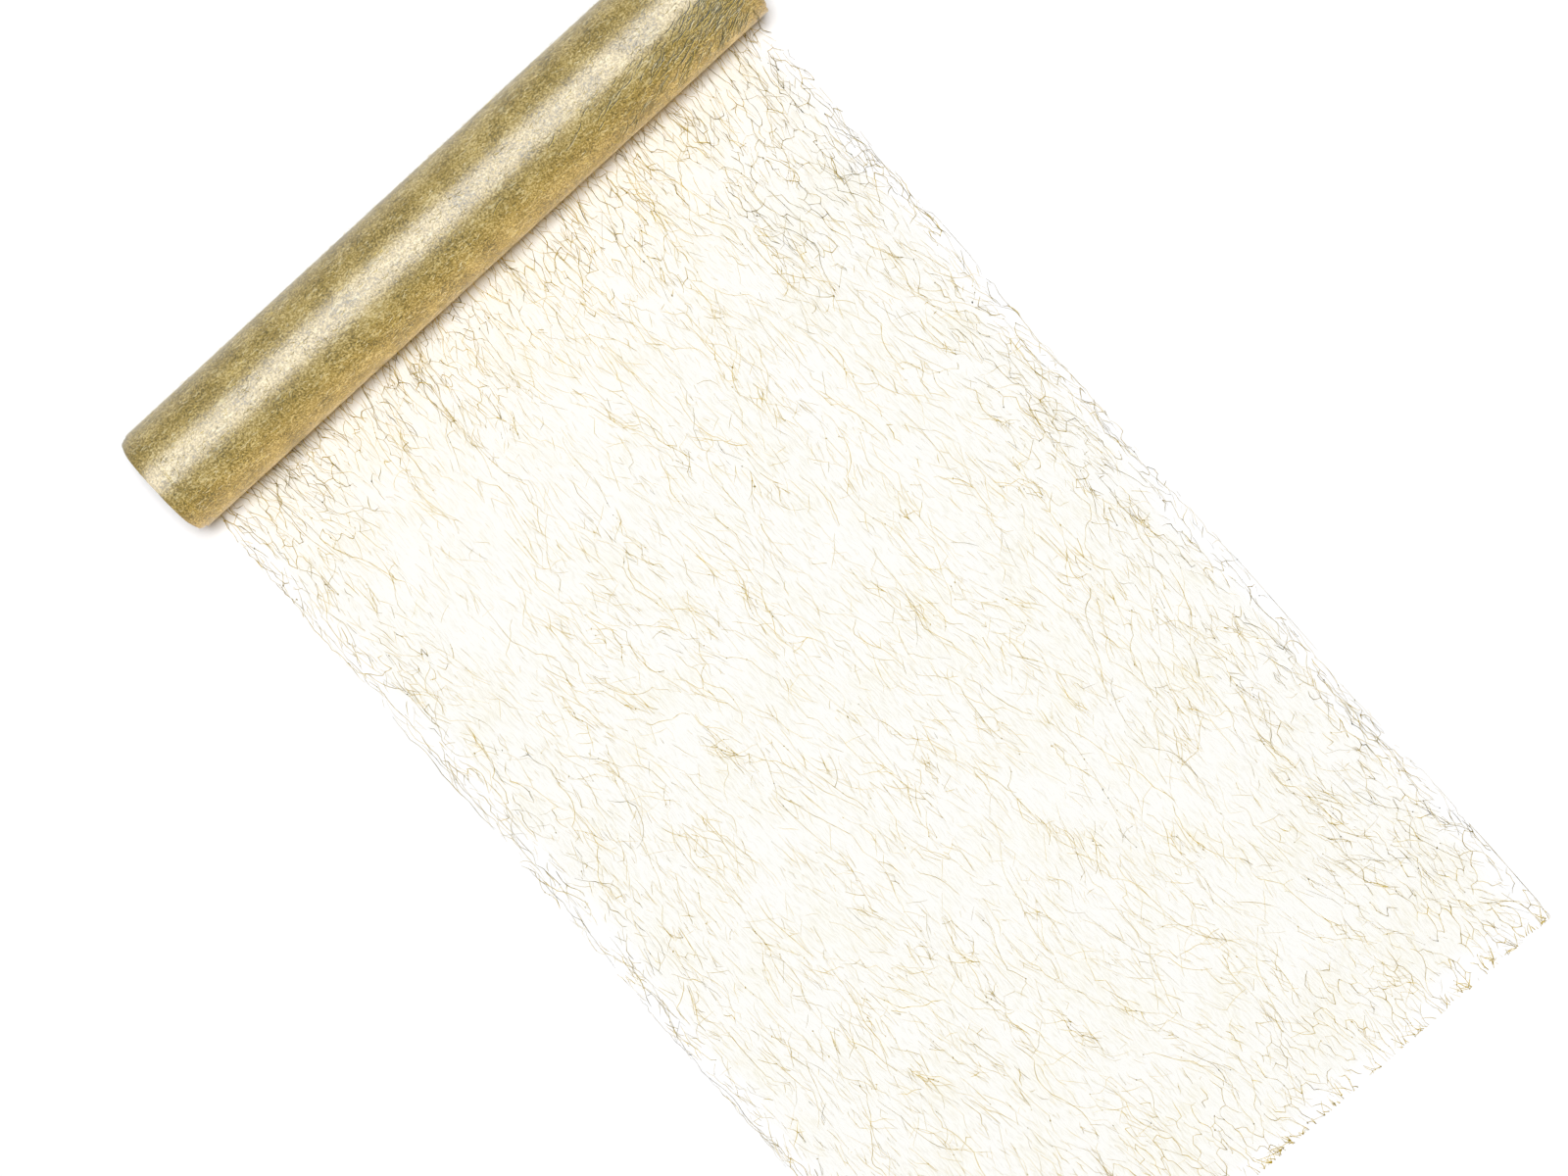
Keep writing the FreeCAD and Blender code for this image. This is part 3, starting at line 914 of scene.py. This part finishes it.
def makeRollFibres():
    # fibres pressed into the skin: pale ones in clusters, which are painted glints; dark lines at the far
    # end, which are painted shade in the creases, each with a painted highlight beside it; and ticks along
    # the rim
    rng = np.random.default_rng(160)
    reach = webWidth / 2 - 2
    felt, paintedCreaseShading, ticks, ends = (feltSet[k] for k in ("felt", "paintedCreaseShading", "rimTicks", "endLines"))
    count = felt["count"]
    u, s = rng.uniform(-reach, reach, count), rng.uniform(0, circumference, count)
    cluster = field(u / felt["clusterMm"], s / felt["clusterMm"] * 2, 161) + 0.6 * field(u / 40, s / 12, 162)
    # the pale fibres are painted glints: champagne where fibres lying along the roll would catch the light
    paintedGlintPale = rng.uniform(size=count) < felt["paintedGlintFibreShare"] * np.clip(1 + 1.6 * cluster, 0, 2.4)
    along = rng.uniform(size=count) < felt["axialShare"]
    lean = np.where(along | paintedGlintPale, rng.normal(0, 0.28, count), rng.uniform(-np.pi / 2, np.pi / 2, count))
    tone = np.where(paintedGlintPale, rng.uniform(0, 0.1, count), rng.uniform(0.42, 0.8, count))
    blocks = [pressedLines(rng, felt, u, s, lean, tone, 3)]

    # painted shade: dark lines laid in the creases near the far end, over the skin's real crease relief
    u = reach - rng.gamma(1.6, 14, paintedCreaseShading["count"])
    s = circumference * rng.uniform(0.53, 0.7, len(u))
    curl = 0.7 * smoothStep(s / circumference, 0.62, 0.7)
    lean = np.radians(paintedCreaseShading["leanDeg"]) - curl + rng.normal(0, 0.12, len(u))
    state = rng.bit_generator.state
    blocks.append(pressedLines(rng, paintedCreaseShading, u, s, lean, rng.uniform(0.9, 1.0, len(u)), 5))
    rng.bit_generator.state = state  # each crease's painted shade gets a painted highlight of the same shape beside it, for the lit side of its ridge
    paintedHighlight = pressedLines(rng, paintedCreaseShading, u, s + paintedCreaseShading["twinMm"], lean, rng.uniform(0.0, 0.16, len(u)), 5)
    paintedHighlight["half"] *= paintedCreaseShading["paintedHighlightShare"]
    blocks.append(paintedHighlight)

    u = np.clip(rng.normal(70, 70, ticks["count"]), -reach, reach)
    s = circumference * rng.uniform(0.67, 0.75, len(u))
    lean, tone = rng.normal(-1.3, 0.25, len(u)), rng.uniform(0.6, 1.0, len(u))
    blocks.append(pressedLines(rng, ticks, u, s, lean, tone, 3))

    side = np.where(rng.uniform(size=ends["count"]) < 0.7, -1, 1)
    u = side * (webWidth / 2 - 0.8 - rng.gamma(1.5, ends["insetMm"] / 3, len(side)))
    s = circumference * rng.uniform(0.25, 0.75, len(u))
    lean, tone = rng.normal(1.57, 0.02, len(u)), rng.uniform(0.2, 0.9, len(u))
    blocks.append(pressedLines(rng, ends, u, s, lean, tone, 14))
    fibres = threadPiece("rollFibres", blocks, rollPlace, pressedGold, 0.2)
    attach(fibres, "roll")
    return fibres


endSet = dict(
    turns=36, around=160, wallMm=8.4, clearMm=0.05, gapMm=1.0, filmShare=0.6, shyMm=0.5, shoulderMm=3.4,
    wanderMm=0.95,
)


def makeRollPack():
    # the turns under the skin: one spiral ribbon of edges at each end, joined by an inner and an outer wall
    s = endSet
    packRadius = (packHigh[2] - packLow[2]) / 2
    inner = packRadius - s["wallMm"]
    outer = packRadius - s["clearMm"]
    pitch = (outer - inner) / s["turns"]
    count = s["turns"] * s["around"]
    m = np.arange(count + 1)
    turn = m / s["around"]
    angle = turn * 2 * math.pi
    share = turn / s["turns"]
    offsets = np.array([0.0, s["filmShare"], s["filmShare"] + 0.04, 0.98]) * pitch
    radius = inner + turn[:, None] * pitch - pitch * turn[:, None] / s["turns"] + offsets
    profiles = []
    for side, seed in ((-1, 71), (1, 72)):
        slow = field(turn / 2.3, 0 * turn, seed)
        quick = field(turn * 9, 0 * turn, seed + 4)
        perTurn = field(turn * 1.0, 0 * turn + 7, seed + 8)
        edge = packHigh[0] - rollMiddle - s["shyMm"] - s["shoulderMm"] * share ** 12
        edge = edge + s["wanderMm"] * (0.6 * slow + 0.25 * quick + 0.5 * perTurn)
        x = np.stack([edge, edge, edge - s["gapMm"], edge - s["gapMm"]], axis=1) * side
        y = rollAxis[1] + radius * np.sin(angle)[:, None]
        z = rollAxis[2] - radius * np.cos(angle)[:, None]
        profiles.append(np.stack([rollMiddle + x, y, z], axis=2))
    points = np.concatenate([p.reshape(-1, 3) for p in profiles])
    index = np.arange((count + 1) * 4).reshape(count + 1, 4)
    a, b = index[:-1], index[1:]
    quads = [np.stack([a[:, k], a[:, k + 1], b[:, k + 1], b[:, k]], axis=1) for k in range(3)]
    inside, outside = index[:-s["around"]], index[s["around"]:]
    quads.append(np.stack([inside[:-1, 3], outside[:-1, 0], outside[1:, 0], inside[1:, 3]], axis=1))
    cap = np.concatenate(quads)
    far = cap[:, ::-1] + (count + 1) * 4
    innerLoop = np.concatenate([index[:s["around"] + 1, 0], index[0, :0:-1]])
    outerLoop = np.concatenate([index[-s["around"] - 1:, 3], index[-1, 2::-1]])
    walls = []
    for loop, turned in ((innerLoop, True), (outerLoop, False)):
        ahead = np.roll(loop, -1)
        wall = np.stack([loop, ahead, ahead + (count + 1) * 4, loop + (count + 1) * 4], axis=1)
        walls.append(wall if turned else wall[:, ::-1])
    faces = np.concatenate([cap, far, *walls]).tolist()
    pack = meshPiece("rollPack", points, faces, skinGold)
    pack.data.shade_flat()
    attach(pack, "roll")
    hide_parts("wound_web")
    return pack


wrapSet = dict(
    cells=dict(
        cell=(2.6, 6.0), jitter=0.46, wander=2.0, wanderMm=12.0, keepAlong=0.85, keepCross=0.5,
        halfWidth=(0.06, 0.14), toneSpread=0.14,
    ),
    arcMm=41.5, startMm=4.6, sinkMm=0.12, bulgeMm=0.6, fadeMm=12.0, grid=(60, 16),
)


def rollTone(u, s):
    return 0.36 + 0.16 * field(u / 3, s / 3, 411) + 0.14 * field(u / 14, s / 9, 412)


def makeLooseWrap():
    # the last part of the turn, still loose on the roll's back, with its ground and its threads
    s = wrapSet

    def wrapPlace(u, v, h):
        angle = v / wrapRadius
        slack = s["bulgeMm"] * smoothStep(u, 20, 120) * np.sin(np.clip(v / s["arcMm"], 0, 1) * np.pi)
        radius = wrapRadius - s["sinkMm"] + slack + h
        height = rollAxis[2] - radius * np.cos(angle)
        return [rollMiddle + u, rollAxis[1] + radius * np.sin(angle), np.maximum(height, 0.02)]

    def fade(u, v):
        return 1.05 - 0.8 * smoothStep(v, s["arcMm"] - s["fadeMm"], s["arcMm"])

    net = cellBlocks(s["cells"], 201, webWidth, s["startMm"], s["arcMm"], rollTone, fade)
    net = [clipBlock(b, s["startMm"], s["arcMm"]) for b in net]
    threads = threadPiece("wrapThreads", net, wrapPlace, fibreGold)
    lineU = np.linspace(-0.5, 0.5, s["grid"][0]) * webWidth
    u, v = np.meshgrid(lineU, np.linspace(s["startMm"], s["arcMm"], s["grid"][1]), indexing="ij")
    ground = gridPiece("wrapGround", u, v, 0 * u, wrapPlace, np.ones(u.size))
    for piece in (threads, ground):
        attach(piece, "lead_off")
        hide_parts("loose_wrap")
    return ground, threads, (webWidth * mm, (s["arcMm"] - s["startMm"]) * mm)


liftSet = dict(
    strands=dict(
        count=125, meanMm=30.0, forkMm=10.0, generations=2, forks=1.2, step=2.0, wanderDeg=4.0,
        kinkShare=0.2, kinkDeg=20.0, pull=0.2, spreadDeg=12.0, halfWidth=(0.07, 0.17), toneSpread=0.14,
    ),
    cells=dict(
        cell=(5.0, 12.0), jitter=0.5, wander=3.0, wanderMm=13.0, keepAlong=0.8, keepCross=0.4,
        halfWidth=(0.07, 0.18), toneSpread=0.16,
    ),
    startMm=9.0, endMm=70.0, leastMm=0.3, peakMm=2.0,
)


def makeLiftedFibres():
    # just past the roll the web still curls up, so some threads stand clear of the surface
    s = liftSet
    start, end = s["startMm"], s["endMm"]

    def thinning(u, v):
        return 1 - 1.5 / 1.6 * smoothStep(v, 10, 55)

    def weight(u, v):
        return 1.6 * thinning(u, v)

    def tone(u, v):
        return 0.5 + 0.15 * field(u / 9, v / 14, 421) - 0.2 * smoothStep(v, 25, 60)

    made = strandBlocks(s["strands"], 301, tone, weight, end)
    made += cellBlocks(s["cells"], 311, webWidth, start, end, tone, thinning)
    made = [clipBlock(b, start, end) for b in layThreads(made, 8, 0.1)]
    for b in made:
        u, v = b["points"][..., 0], b["points"][..., 1]
        rise = smoothStep(v, 6, 28) * (1 - smoothStep(v, 30, end - 4))
        b["lift"] += s["leastMm"] + s["peakMm"] * rise * (0.65 + 0.6 * field(u / 18, v / 40, 422))
    lifted = threadPiece("liftedThreads", made, flatPlace, fibreGold)
    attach(lifted, "lead_off")
    return lifted


rollSkin = makeRollSkin()
rollFibres = makeRollFibres()
for piece in (rollSkin, rollFibres, makeRollPack()):
    litByGlow.objects.link(piece)
wrapGround, wrapThreads, wrapFlat = makeLooseWrap()
wrapPieces = [wrapThreads, makeLiftedFibres()]
print("roll made")

for number, node in enumerate(("core_inner_ply", "core_middle_ply", "core_outer_ply")):
    board = kraftBoardMaterial("spiralWoundKraftBoard" + str(number + 1), number * 0.31)
    frame["nodes"][node].data.materials.clear()
    frame["nodes"][node].data.materials.append(board)
frame["nodes"]["start_tape"].data.materials.clear()
frame["nodes"]["start_tape"].data.materials.append(crepeTapeMaterial())
print("core finished")
